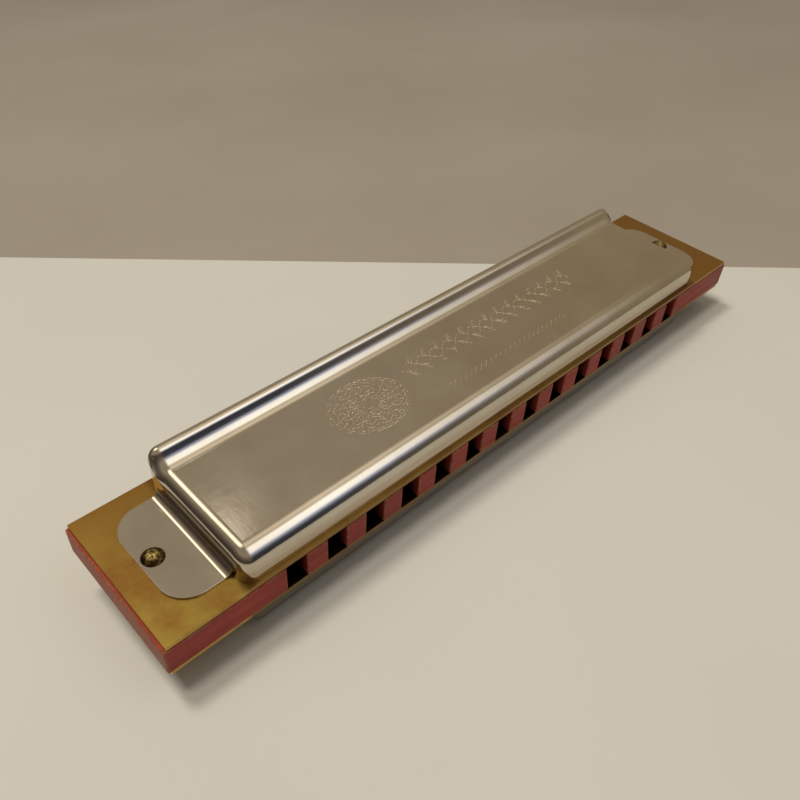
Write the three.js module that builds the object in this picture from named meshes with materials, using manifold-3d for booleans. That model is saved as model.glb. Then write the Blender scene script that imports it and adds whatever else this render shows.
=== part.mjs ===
// A fourteen-hole diatonic harmonica: a slotted wooden comb between two brass reed plates,
// closed by two drawn sheet-metal covers. Millimetres; +X runs along the comb towards the
// high notes, the mouth side faces -Y, +Z is up, and the lower cover stands on z = 0.

import * as THREE from 'three';
import { mergeVertices } from 'three/addons/utils/BufferGeometryUtils.js';
import Module from 'manifold-3d';

const wasm = await Module();
wasm.setup();

// ---------------------------------------------------------------- driving dimensions

const COMB = { length: 175, depth: 33, height: 6.3 };

// Blow holes along the mouth side; each one is the mouth of a chamber cut right through the comb.
const HOLES = { count: 14, pitch: 9.35, width: 4.5 };

const PLATE = { thickness: 0.9, endInset: 0.6, edgeInset: 0.2 };

// A reed is one strip: a pad held by a rivet, and a tongue that swings through a slot.
const REED = {
  thickness: 0.3, gap: 0.15, padWidth: 3.2, padLength: 4.2, rootWidth: 2.1, tipWidth: 1.7,
  blowLow: 18.5, blowHigh: 9, drawLow: 18, drawHigh: 8.6,
  blowTipInset: 5, drawRivetInset: 5.4,
};

const SLOT = { sideClearance: 0.2, endClearance: 0.4, padClearance: 0.2 };
const CHAMBER_END_CLEARANCE = 0.8;

const RIVET = { shank: 0.7, head: 1.15, headHeight: 0.35, tail: 1.0, tailHeight: 0.25 };
const RIVET_HOLE_CLEARANCE = 0.15;

// Drawn cover: rounded front edge, flat top, a step up to a rounded rim along the open back.
const COVER = {
  sheet: 0.45, frontInset: 0.9, backInset: 1.1, endInset: 16.5, topHeight: 6.5,
  frontRadius: 3.9, stepRadius: 3.8, rimRadius: 1.45, stepStraight: 0.4,
  stepAngle: THREE.MathUtils.degToRad(57), endRadius: 1.3, cornerRadius: 2.8,
  lipHeight: 5.6, hemDepth: 1.8, cornerReturn: 3.0,
};

// Flat tab at each end of a cover, turned outwards from the foot of the end wall.
const TAB = { width: 23.6, endInset: 5.6, cornerRadius: 5.8, foldRadius: 1.8, nailInset: 8.2 };

const COVER_NAIL = { shank: 0.8, head: 2.15, headHeight: 0.95, bite: 2.7, point: 1.0 };
const PLATE_NAIL = { shank: 0.5, head: 1.1, headHeight: 0.45, bite: 2.6, point: 0.8 };
const NAIL_HOLE_CLEARANCE = 0.1;

// Nails of each reed plate stand in two rows: in the tines at the front, in the spine at the back.
const PLATE_NAIL_ROWS = { tines: [-6, -3, 0, 3, 6], frontInset: 3.2, backInset: 3.4 };

const ARC_STEPS = 4;
const BEVEL_STEPS = 3;
const RIVET_SIDES = 8;
const NAIL_SIDES = 12;
const MARGIN = 1;

// ---------------------------------------------------------------- values worked out from them

const combFront = -COMB.depth / 2;
const combBack = COMB.depth / 2;
const combTop = COMB.height / 2;
const plateFace = combTop + PLATE.thickness;

const coverFront = combFront + COVER.frontInset;
const coverBack = combBack - COVER.backInset;
const coverHalfLength = COMB.length / 2 - COVER.endInset;
const crestY = coverBack - COVER.rimRadius;
const stepRadii = COVER.stepRadius + COVER.rimRadius;
const stepY = crestY - stepRadii * Math.sin(COVER.stepAngle)
  - COVER.stepStraight * Math.cos(COVER.stepAngle);
const rimHeight = COVER.topHeight + stepRadii * (1 - Math.cos(COVER.stepAngle))
  + COVER.stepStraight * Math.sin(COVER.stepAngle);
const tabHalfLength = COMB.length / 2 - TAB.endInset;
const tabY = (coverFront + coverBack) / 2;
const nailX = COMB.length / 2 - TAB.nailInset;
const baseHeight = plateFace + rimHeight;

const holeNumbers = Array.from({ length: HOLES.count }, (_, i) => i);

function holeX(i) {
  return (i - (HOLES.count - 1) / 2) * HOLES.pitch;
}

function fromLowToHigh(low, high, i) {
  return low + (high - low) * i / (HOLES.count - 1);
}

// A reed's length is measured from its rivet to its tip. Blow reeds point to the mouth side,
// draw reeds point to the back.
const blowTipY = combFront + REED.blowTipInset;
const reedSets = {
  blow: {
    towards: -1,
    length: (i) => fromLowToHigh(REED.blowLow, REED.blowHigh, i),
    rivetY: (i) => blowTipY + fromLowToHigh(REED.blowLow, REED.blowHigh, i),
  },
  draw: {
    towards: 1,
    length: (i) => fromLowToHigh(REED.drawLow, REED.drawHigh, i),
    rivetY: () => combFront + REED.drawRivetInset,
  },
};

function chamberEndY(i) {
  const blowEnd = reedSets.blow.rivetY(i) + REED.padLength / 2;
  const drawEnd = reedSets.draw.rivetY(i) + reedSets.draw.length(i) + SLOT.endClearance;
  return Math.max(blowEnd, drawEnd) + CHAMBER_END_CLEARANCE;
}

const nailSpots = [
  combFront + PLATE_NAIL_ROWS.frontInset,
  combBack - PLATE_NAIL_ROWS.backInset,
].flatMap((y) => PLATE_NAIL_ROWS.tines.map((tine) => ({ x: tine * HOLES.pitch, y })));
const coverNailSpots = [{ x: -nailX, y: tabY }, { x: nailX, y: tabY }];

// ---------------------------------------------------------------- materials

const finishes = {
  nickel: { color: 0xb9ad99, roughness: 0.22, metalness: 1 },
  brass: { color: 0xb08a3a, roughness: 0.38, metalness: 1 },
  reedBrass: { color: 0xc6a24e, roughness: 0.3, metalness: 1 },
  nailBrass: { color: 0x8c6c2c, roughness: 0.45, metalness: 1 },
  paintedWood: { color: 0x8a3a34, roughness: 0.55, metalness: 0 },
};

function namedMesh(name, geometry, finish) {
  const mesh = new THREE.Mesh(geometry, new THREE.MeshStandardMaterial(finishes[finish]));
  mesh.name = name;
  return mesh;
}

// ---------------------------------------------------------------- joins and cuts

function toSolid(geometry) {
  const bare = geometry.clone();
  bare.deleteAttribute('normal');
  bare.deleteAttribute('uv');
  const merged = mergeVertices(bare, 1e-4);
  return new wasm.Manifold(new wasm.Mesh({
    numProp: 3,
    vertProperties: new Float32Array(merged.attributes.position.array),
    triVerts: new Uint32Array(merged.index.array),
  }));
}

function toGeometry(solid) {
  const mesh = solid.getMesh();
  const geometry = new THREE.BufferGeometry();
  geometry.setAttribute('position', new THREE.BufferAttribute(mesh.vertProperties, 3));
  geometry.setIndex(new THREE.BufferAttribute(mesh.triVerts, 1));
  geometry.computeVertexNormals();
  return geometry;
}

function boxSolid(x0, x1, y0, y1, z0, z1) {
  const box = new THREE.BoxGeometry(x1 - x0, y1 - y0, z1 - z0);
  return toSolid(box.translate((x0 + x1) / 2, (y0 + y1) / 2, (z0 + z1) / 2));
}

// Stands an extrusion of a (y, z) outline up so that it runs along X, centred on x = 0.
function alongX(shape, length, edgeRadius) {
  const geometry = new THREE.ExtrudeGeometry(shape, {
    depth: length - 2 * edgeRadius,
    curveSegments: ARC_STEPS,
    bevelEnabled: true,
    bevelThickness: edgeRadius,
    bevelSize: edgeRadius,
    bevelOffset: -edgeRadius,
    bevelSegments: BEVEL_STEPS,
  });
  geometry.translate(0, 0, edgeRadius - length / 2);
  const y = new THREE.Vector3(0, 1, 0);
  const z = new THREE.Vector3(0, 0, 1);
  const x = new THREE.Vector3(1, 0, 0);
  return geometry.applyMatrix4(new THREE.Matrix4().makeBasis(y, z, x));
}

// An extrusion of an (x, z) outline along Y, centred on y.
function alongY(shape, length, y) {
  const geometry = new THREE.ExtrudeGeometry(shape, {
    depth: length, curveSegments: ARC_STEPS, bevelEnabled: false,
  });
  geometry.rotateX(Math.PI / 2);
  return geometry.translate(0, y + length / 2, 0);
}

function flatSheet(shape, thickness) {
  return new THREE.ExtrudeGeometry(shape, {
    depth: thickness, curveSegments: ARC_STEPS, bevelEnabled: false,
  });
}

function circle(x, y, radius, sides) {
  return Array.from({ length: sides }, (_, i) => {
    const angle = 2 * Math.PI * (i + 0.5) / sides;
    return new THREE.Vector2(x + radius * Math.cos(angle), y + radius * Math.sin(angle));
  });
}

function addHole(shape, points) {
  shape.holes.push(new THREE.Path(points));
}

function addNailHoles(shape, spots, nail) {
  for (const spot of spots) {
    addHole(shape, circle(spot.x, spot.y, nail.shank + NAIL_HOLE_CLEARANCE, NAIL_SIDES));
  }
}

// A rectangular slab standing on z = 0, drilled for every nail that passes through it.
function drilledSheet(halfLength, front, back, thickness) {
  const corners = [[-halfLength, front], [halfLength, front], [halfLength, back], [-halfLength, back]];
  const shape = new THREE.Shape(corners.map(([x, y]) => new THREE.Vector2(x, y)));
  addNailHoles(shape, nailSpots, PLATE_NAIL);
  addNailHoles(shape, coverNailSpots, COVER_NAIL);
  return toSolid(flatSheet(shape, thickness));
}

// ---------------------------------------------------------------- comb

function makeComb() {
  const half = COMB.length / 2;
  const mouth = combFront - MARGIN;
  let comb = drilledSheet(half, combFront, combBack, COMB.height);
  for (const i of holeNumbers) {
    const left = holeX(i) - HOLES.width / 2;
    const right = holeX(i) + HOLES.width / 2;
    comb = comb.subtract(boxSolid(left, right, mouth, chamberEndY(i), -MARGIN, COMB.height + MARGIN));
  }
  const mesh = namedMesh('comb', toGeometry(comb), 'paintedWood');
  mesh.position.z = -combTop;
  return mesh;
}

// ---------------------------------------------------------------- reed plates, rivets and reeds

function slotSolid(set, i) {
  const halfWidth = REED.rootWidth / 2 + SLOT.sideClearance;
  const root = set.rivetY(i) + set.towards * (REED.padLength / 2 + SLOT.padClearance);
  const tip = set.rivetY(i) + set.towards * (set.length(i) + SLOT.endClearance);
  return boxSolid(holeX(i) - halfWidth, holeX(i) + halfWidth, Math.min(root, tip), Math.max(root, tip),
    -MARGIN, PLATE.thickness + MARGIN);
}

// The rivet's head is on the reed's side of the plate, and its tail is clinched on the other side.
function rivetSolid(x, y) {
  const sink = PLATE.thickness / 4;
  const tailFace = PLATE.thickness;
  const headFoot = -(2 * REED.gap + REED.thickness);
  const profile = [
    [0, tailFace + RIVET.tailHeight], [RIVET.tail, tailFace + RIVET.tailHeight],
    [RIVET.tail, tailFace - sink], [RIVET.shank, tailFace - sink], [RIVET.shank, headFoot],
    [RIVET.head, headFoot], [RIVET.head * 0.7, headFoot - RIVET.headHeight],
    [0, headFoot - RIVET.headHeight],
  ].map(([r, z]) => new THREE.Vector2(r, z)).reverse();
  const rivet = new THREE.LatheGeometry(profile, RIVET_SIDES, Math.PI / RIVET_SIDES);
  return toSolid(rivet.rotateX(Math.PI / 2).translate(x, y, 0));
}

// Plates carry their reeds on the underside: z = 0 is that face.
function makeReedPlate(name, set, z) {
  const half = COMB.length / 2 - PLATE.endInset;
  let plate = drilledSheet(half, combFront + PLATE.edgeInset, combBack - PLATE.edgeInset, PLATE.thickness);
  for (const i of holeNumbers) {
    plate = plate.subtract(slotSolid(set, i)).add(rivetSolid(holeX(i), set.rivetY(i)));
  }
  const mesh = namedMesh(name, toGeometry(plate), 'brass');
  mesh.position.z = z;
  return mesh;
}

function makeReed(name, set, i, z) {
  const pad = REED.padLength / 2;
  const points = [
    [-REED.padWidth / 2, -pad], [REED.padWidth / 2, -pad], [REED.padWidth / 2, pad],
    [REED.rootWidth / 2, pad], [REED.tipWidth / 2, set.length(i)],
    [-REED.tipWidth / 2, set.length(i)], [-REED.rootWidth / 2, pad], [-REED.padWidth / 2, pad],
  ].map(([x, y]) => new THREE.Vector2(x, y));
  const shape = new THREE.Shape(points);
  addHole(shape, circle(0, 0, RIVET.shank + RIVET_HOLE_CLEARANCE, RIVET_SIDES));
  const geometry = flatSheet(shape, REED.thickness);
  geometry.translate(0, 0, -REED.thickness / 2);
  if (set.towards < 0) {
    geometry.rotateZ(Math.PI);
  }
  const mesh = namedMesh(name, geometry, 'reedBrass');
  mesh.position.set(holeX(i), set.rivetY(i), z - REED.gap - REED.thickness / 2);
  return mesh;
}

// ---------------------------------------------------------------- covers

// The cover's (y, z) section, moved inwards by `inset`. It runs on below the reed plate, to be
// trimmed there after its end edges are rounded.
function coverSection(inset) {
  const c = COVER;
  const foot = -(c.endRadius + MARGIN + inset);
  const front = coverFront + inset;
  const back = coverBack - inset;
  const top = c.topHeight - inset;
  const frontRadius = c.frontRadius - inset;
  const quarter = Math.PI / 2;
  const stepZ = c.topHeight + c.stepRadius;
  const rimZ = rimHeight - c.rimRadius;
  const shape = new THREE.Shape();
  shape.moveTo(front, foot);
  shape.lineTo(front, top - frontRadius);
  shape.absarc(front + frontRadius, top - frontRadius, frontRadius, 2 * quarter, quarter, true);
  shape.lineTo(stepY, top);
  shape.absarc(stepY, stepZ, c.stepRadius + inset, -quarter, c.stepAngle - quarter, false);
  shape.absarc(crestY, rimZ, c.rimRadius - inset, quarter + c.stepAngle, 0, true);
  shape.lineTo(back, foot);
  return shape;
}

// The cover's outline from above, moved inwards by `inset`, with a rounded corner between each
// end wall and the walls along it. It stands a hair outside the section's own walls.
function coverOutline(inset) {
  const hair = 0.02;
  const half = coverHalfLength - inset + hair;
  const front = coverFront + inset - hair;
  const back = coverBack - inset + hair;
  const r = COVER.cornerRadius - inset;
  const quarter = Math.PI / 2;
  const shape = new THREE.Shape();
  shape.absarc(half - r, front + r, r, -quarter, 0, false);
  shape.absarc(half - r, back - r, r, 0, quarter, false);
  shape.absarc(r - half, back - r, r, quarter, 2 * quarter, false);
  shape.absarc(r - half, front + r, r, 2 * quarter, 3 * quarter, false);
  return shape;
}

function coverBlank(inset) {
  const drawn = alongX(coverSection(inset), 2 * (coverHalfLength - inset), COVER.endRadius - inset);
  const depth = COMB.depth;
  const trim = flatSheet(coverOutline(inset), 2 * depth).translate(0, 0, -depth);
  return toSolid(drawn).intersect(toSolid(trim));
}

// The fold at the foot of an end wall, in (x, z), with a short overlap into the wall and the tab.
function foldSection() {
  const x = coverHalfLength + TAB.foldRadius;
  const z = COVER.sheet + TAB.foldRadius;
  const overlap = COVER.sheet / 2;
  const shape = new THREE.Shape();
  shape.moveTo(x + overlap, 0);
  shape.lineTo(x + overlap, COVER.sheet);
  shape.lineTo(x, COVER.sheet);
  shape.absarc(x, z, TAB.foldRadius, -Math.PI / 2, -Math.PI, true);
  shape.lineTo(coverHalfLength, z + overlap);
  shape.lineTo(coverHalfLength - COVER.sheet, z + overlap);
  shape.absarc(x, z, TAB.foldRadius + COVER.sheet, -Math.PI, -Math.PI / 2, false);
  return shape;
}

function tabSheet() {
  const inner = coverHalfLength + TAB.foldRadius;
  const half = TAB.width / 2;
  const r = TAB.cornerRadius;
  const shape = new THREE.Shape();
  shape.moveTo(inner, tabY - half);
  shape.lineTo(tabHalfLength - r, tabY - half);
  shape.absarc(tabHalfLength - r, tabY - half + r, r, -Math.PI / 2, 0, false);
  shape.absarc(tabHalfLength - r, tabY + half - r, r, 0, Math.PI / 2, false);
  shape.lineTo(inner, tabY + half);
  addNailHoles(shape, [{ x: nailX, y: tabY }], COVER_NAIL);
  return flatSheet(shape, COVER.sheet);
}

function makeCover(name) {
  const halfTab = TAB.width / 2;
  const inside = coverHalfLength - COVER.cornerReturn;
  const reach = COMB.length;
  const foldTop = COVER.sheet + TAB.foldRadius;
  const hemFront = coverBack - COVER.hemDepth;
  const hemBack = coverBack - COVER.sheet / 2;
  const hemTop = COVER.lipHeight + COVER.sheet;
  const belowPlate = boxSolid(-reach, reach, -reach, reach, -reach, 0);
  const backOpening = boxSolid(-inside, inside, crestY, reach, -MARGIN, COVER.lipHeight);
  const hem = boxSolid(-inside, inside, hemFront, hemBack, COVER.lipHeight, hemTop);
  const foldGaps = boxSolid(-reach, reach, tabY - halfTab, tabY + halfTab, -MARGIN, foldTop)
    .subtract(boxSolid(-inside, inside, -reach, reach, -reach, reach));
  const shell = coverBlank(0).subtract(coverBlank(COVER.sheet)).subtract(belowPlate);
  let cover = shell.subtract(backOpening).add(hem).subtract(foldGaps);
  for (const turn of [0, Math.PI]) {
    for (const piece of [alongY(foldSection(), TAB.width, tabY), tabSheet()]) {
      cover = cover.add(toSolid(piece.translate(0, -tabY, 0).rotateZ(turn).translate(0, tabY, 0)));
    }
  }
  return namedMesh(name, toGeometry(cover), 'nickel');
}

// ---------------------------------------------------------------- nails

// A round-headed nail whose head stands on z = 0 and whose shank goes down through `through`
// millimetres of sheet before it bites into the comb.
function makeNail(name, nail, through, x, y, z) {
  const length = through + nail.bite;
  const profile = new THREE.Path();
  profile.moveTo(0, -length);
  profile.lineTo(nail.shank, nail.point - length);
  profile.lineTo(nail.shank, 0);
  profile.lineTo(nail.head, 0);
  profile.quadraticCurveTo(nail.head, nail.headHeight, 0, nail.headHeight);
  const geometry = new THREE.LatheGeometry(profile.getPoints(ARC_STEPS), NAIL_SIDES, Math.PI / NAIL_SIDES);
  const mesh = namedMesh(name, geometry.rotateX(Math.PI / 2), 'nailBrass');
  mesh.position.set(x, y, z);
  return mesh;
}

// Everything fastened on one face of the comb, built outwards (+Z) from the comb's mid-plane.
function makeSide(name) {
  const side = new THREE.Group();
  const cover = makeCover(`${name}_cover`);
  cover.position.z = plateFace;
  side.add(cover);
  coverNailSpots.forEach((spot, i) => {
    side.add(makeNail(`${name}_cover_nail_${i + 1}`, COVER_NAIL,
      COVER.sheet + PLATE.thickness, spot.x, spot.y, plateFace + COVER.sheet));
  });
  nailSpots.forEach((spot, i) => {
    const nailName = `${name}_plate_nail_${String(i + 1).padStart(2, '0')}`;
    side.add(makeNail(nailName, PLATE_NAIL, PLATE.thickness, spot.x, spot.y, plateFace));
  });
  return side;
}

// ---------------------------------------------------------------- assembly

const group = new THREE.Group();
group.position.z = baseHeight;
group.add(makeComb());
group.add(makeReedPlate('upper_reed_plate', reedSets.blow, combTop));
group.add(makeReedPlate('lower_reed_plate', reedSets.draw, -plateFace));
for (const i of holeNumbers) {
  const number = String(i + 1).padStart(2, '0');
  group.add(makeReed(`blow_reed_${number}`, reedSets.blow, i, combTop));
  group.add(makeReed(`draw_reed_${number}`, reedSets.draw, i, -plateFace));
}
group.add(makeSide('upper'));
const lowerSide = makeSide('lower');
lowerSide.rotation.y = Math.PI;
group.add(lowerSide);

export default group;
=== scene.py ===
# A fourteen-hole diatonic harmonica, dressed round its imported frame. Metres throughout: +X runs
# along the comb to the high notes, the mouth side faces -Y, +Z is up, the lower cover is at z = 0.

import math

import bmesh
import bpy
from mathutils import Matrix, Vector, noise


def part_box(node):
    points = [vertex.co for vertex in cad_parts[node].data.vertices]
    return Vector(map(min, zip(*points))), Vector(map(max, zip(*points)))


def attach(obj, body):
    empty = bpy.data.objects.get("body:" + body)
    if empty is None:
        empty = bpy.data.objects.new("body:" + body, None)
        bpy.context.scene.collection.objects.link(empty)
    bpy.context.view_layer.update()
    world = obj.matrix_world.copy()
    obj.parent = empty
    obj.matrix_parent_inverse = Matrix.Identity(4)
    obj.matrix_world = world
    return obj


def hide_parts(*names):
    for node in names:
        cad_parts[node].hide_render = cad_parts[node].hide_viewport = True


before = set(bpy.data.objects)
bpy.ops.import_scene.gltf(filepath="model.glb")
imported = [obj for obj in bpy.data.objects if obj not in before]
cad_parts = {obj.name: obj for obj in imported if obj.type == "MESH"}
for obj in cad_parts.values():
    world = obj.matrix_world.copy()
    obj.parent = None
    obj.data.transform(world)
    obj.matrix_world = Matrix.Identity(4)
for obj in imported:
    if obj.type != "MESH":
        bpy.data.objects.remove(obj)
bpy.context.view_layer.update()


# ------------------------------------------------------------------------------ comb
# The core of the instrument: one plank of close-grained wood, slotted from the mouth side for
# the fourteen chambers, sanded at the edges and painted dull red. Both reed plates nail to it.

MM = 0.001
HOLE_WIDTH = 4.5 * MM
CHAMBER_END_ROOM = 0.8 * MM
SLOT_END_ROOM = 0.4 * MM
COMB_EDGE = 0.35 * MM
GRAIN_DEPTH = 0.06 * MM
# Where the painted shade inside the chambers begins, is full and ends.
CHAMBER_SHADE_FROM = 0.2 * MM
CHAMBER_SHADE_FULL = 2.2 * MM
CHAMBERS_BACK = 14 * MM
CHAMBERS_HALF = 64 * MM

comb_low, comb_high = [Vector(corner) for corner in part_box("comb")]
mid_height = (comb_low.z + comb_high.z) / 2
hole_numbers = range(1, 15)


def reed_box(kind, number):
    low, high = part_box(f"{kind}_reed_{number:02d}")
    return Vector(low), Vector(high)


def hole_x(number):
    low, high = reed_box("blow", number)
    return (low.x + high.x) / 2


def chamber_end(number):
    blow_end = reed_box("blow", number)[1].y
    draw_end = reed_box("draw", number)[1].y + SLOT_END_ROOM
    return max(blow_end, draw_end) + CHAMBER_END_ROOM


def finish_of(name):
    """A new material with its node tree, its shader and the place on the piece."""
    material = bpy.data.materials.new(name)
    material.use_nodes = True
    tree = material.node_tree
    place = tree.nodes.new("ShaderNodeTexCoord").outputs["Object"]
    return material, tree, tree.nodes["Principled BSDF"], place


def scaled(tree, place, x, y, z):
    mapping = tree.nodes.new("ShaderNodeMapping")
    mapping.inputs["Scale"].default_value = (x, y, z)
    tree.links.new(place, mapping.inputs["Vector"])
    return mapping.outputs["Vector"]


def cloud(tree, place, scale, detail=4, roughness=0.55):
    node = tree.nodes.new("ShaderNodeTexNoise")
    node.inputs["Scale"].default_value = scale
    node.inputs["Detail"].default_value = detail
    node.inputs["Roughness"].default_value = roughness
    tree.links.new(place, node.inputs["Vector"])
    return node.outputs["Fac"]


def graded(tree, value, stops):
    """A colour ramp: stops are (position, colour) pairs; a plain number stands for a grey."""
    node = tree.nodes.new("ShaderNodeValToRGB")
    ramp = node.color_ramp
    while len(ramp.elements) < len(stops):
        ramp.elements.new(1.0)
    for element, (position, colour) in zip(ramp.elements, stops):
        if not isinstance(colour, tuple):
            colour = (colour, colour, colour)
        element.position = position
        element.color = (*colour, 1.0)
    tree.links.new(value, node.inputs["Fac"])
    return node.outputs["Color"]


def mixed(tree, share, first, second, blend="MIX"):
    node = tree.nodes.new("ShaderNodeMix")
    node.data_type = "RGBA"
    node.blend_type = blend
    for socket, value in ((node.inputs[0], share), (node.inputs[6], first), (node.inputs[7], second)):
        if isinstance(value, bpy.types.NodeSocket):
            tree.links.new(value, socket)
        elif isinstance(value, tuple):
            socket.default_value = (*value, 1.0)
        else:
            socket.default_value = value
    return node.outputs[2]


def between(tree, value, low, high, to_low=0.0, to_high=1.0):
    node = tree.nodes.new("ShaderNodeMapRange")
    node.inputs["From Min"].default_value = low
    node.inputs["From Max"].default_value = high
    node.inputs["To Min"].default_value = to_low
    node.inputs["To Max"].default_value = to_high
    tree.links.new(value, node.inputs["Value"])
    return node.outputs["Result"]


def reckoned(tree, operation, first, second=0.0):
    node = tree.nodes.new("ShaderNodeMath")
    node.operation = operation
    for socket, value in ((node.inputs[0], first), (node.inputs[1], second)):
        if isinstance(value, bpy.types.NodeSocket):
            tree.links.new(value, socket)
        else:
            socket.default_value = value
    return node.outputs[0]


def axis_of(tree, place, axis):
    node = tree.nodes.new("ShaderNodeSeparateXYZ")
    tree.links.new(place, node.inputs[0])
    return node.outputs[axis]


def relief(tree, shader, height, depth):
    """Fine relief on the finish, depth metres deep."""
    node = tree.nodes.new("ShaderNodeBump")
    node.inputs["Strength"].default_value = 1.0
    node.inputs["Distance"].default_value = depth
    tree.links.new(height, node.inputs["Height"])
    tree.links.new(node.outputs["Normal"], shader.inputs["Normal"])


def painted_wood(name, paint_left):
    """Dull red paint over wood, with painted shade inside the chambers; paint_left is the share of the
    surface that still holds paint.
    """
    material, tree, shader, place = finish_of(name)
    grain = cloud(tree, scaled(tree, place, 60, 1100, 1100), 1.0, 6)
    patches = cloud(tree, place, 90, 3)
    red = graded(tree, patches, [(0.3, (0.34, 0.034, 0.026)), (0.7, (0.52, 0.075, 0.055))])
    red = mixed(tree, graded(tree, grain, [(0.35, 0.45), (0.7, 0.0)]), red, (0.10, 0.010, 0.009))
    bare = graded(tree, grain, [(0.3, (0.20, 0.065, 0.03)), (0.7, (0.42, 0.19, 0.09))])
    chips = cloud(tree, place, 1500, 5, 0.65)
    worn = between(tree, chips, paint_left - 0.06, paint_left + 0.06)
    along = reckoned(tree, "ABSOLUTE", axis_of(tree, place, "X"))
    end_face = between(tree, along, comb_high.x - 0.7 * MM, comb_high.x - 0.1 * MM, 0.0, 0.34)
    faded = mixed(tree, end_face, red, (0.30, 0.14, 0.055))
    shader.inputs["Specular IOR Level"].default_value = 0.25
    covered = mixed(tree, worn, faded, bare)
    # Deeper into the chambers the colour is painted near-black: painted shade.
    depth_in = axis_of(tree, place, "Y")
    inside = between(tree, depth_in, comb_low.y + CHAMBER_SHADE_FROM, comb_low.y + CHAMBER_SHADE_FULL)
    for distance, limit in ((depth_in, CHAMBERS_BACK), (along, CHAMBERS_HALF)):
        inside = reckoned(tree, "MULTIPLY", inside, reckoned(tree, "LESS_THAN", distance, limit))
    tree.links.new(mixed(tree, inside, covered, (0.035, 0.006, 0.005)), shader.inputs["Base Color"])
    tree.links.new(between(tree, patches, 0.3, 0.7, 0.42, 0.58), shader.inputs["Roughness"])
    relief(tree, shader, reckoned(tree, "ADD", grain, chips), GRAIN_DEPTH)
    return material


def new_piece(name, mesh, materials=()):
    piece = bpy.data.objects.new(name, mesh)
    bpy.context.scene.collection.objects.link(piece)
    for material in materials:
        mesh.materials.append(material)
    return piece


def settled(piece):
    """The piece with its modifiers worked into a plain mesh."""
    graph = bpy.context.evaluated_depsgraph_get()
    mesh = bpy.data.meshes.new_from_object(piece.evaluated_get(graph))
    piece.modifiers.clear()
    piece.data = mesh
    mesh.name = piece.name
    return piece


SHARP_TURN = math.radians(35)


def rounded(piece, width, steps=2, edge_material=-1):
    """Breaks the sharp edges and keeps the flats shading flat."""
    for face in piece.data.polygons:
        face.use_smooth = True
    bevel = piece.modifiers.new("broken edges", "BEVEL")
    bevel.width = width
    bevel.segments = steps
    bevel.angle_limit = SHARP_TURN
    bevel.use_clamp_overlap = False
    bevel.material = edge_material
    flats = piece.modifiers.new("flats", "WEIGHTED_NORMAL")
    flats.keep_sharp = True
    return settled(piece)


def belongs(piece, slot, *nodes):
    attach(piece, "harmonica")
    if nodes:
        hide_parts(*nodes)


comb_outline = [(comb_low.x, comb_high.y), (comb_low.x, comb_low.y)]
for number in hole_numbers:
    left = hole_x(number) - HOLE_WIDTH / 2
    right = hole_x(number) + HOLE_WIDTH / 2
    deep = chamber_end(number)
    comb_outline += [(left, comb_low.y), (left, deep), (right, deep), (right, comb_low.y)]
comb_outline += [(comb_high.x, comb_low.y), (comb_high.x, comb_high.y)]

shape = bmesh.new()
floor_ring = [shape.verts.new((x, y, comb_low.z)) for x, y in comb_outline]
roof_ring = [shape.verts.new((x, y, comb_high.z)) for x, y in comb_outline]
shape.faces.new(floor_ring)
shape.faces.new(roof_ring)
for i in range(len(comb_outline)):
    j = (i + 1) % len(comb_outline)
    shape.faces.new((floor_ring[i], floor_ring[j], roof_ring[j], roof_ring[i]))
bmesh.ops.recalc_face_normals(shape, faces=shape.faces)
comb_mesh = bpy.data.meshes.new("comb_wood")
shape.to_mesh(comb_mesh)
shape.free()

comb_paint = painted_wood("comb paint", 0.78)
worn_paint = painted_wood("worn comb edges", 0.50)
comb_wood = new_piece("comb_wood", comb_mesh, [comb_paint, worn_paint])
rounded(comb_wood, COMB_EDGE, 3, edge_material=1)
belongs(comb_wood, "painted_comb", "comb")


# ------------------------------------------------------------------------------ reed plates
# Two rolled brass sheets, sheared to size, punched with a slot for every reed and nailed to the
# comb. Handling has dulled them to gold and brown, and left them scratched and nicked in front.

PLATE_THICKNESS = 0.9 * MM
PLATE_END_INSET = 0.6 * MM
PLATE_EDGE_INSET = 0.2 * MM
SLOT_HALF_WIDTH = 1.25 * MM
PAD_HALF = 2.1 * MM
SLOT_PAD_ROOM = 0.2 * MM
PLATE_EDGE = 0.09 * MM
# How far along the painted shade under the covers runs out.
COVER_SHADE_FROM = 72 * MM
COVER_SHADE_FULL = 70.5 * MM
SCRATCH_DEPTH = 0.022 * MM


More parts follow.
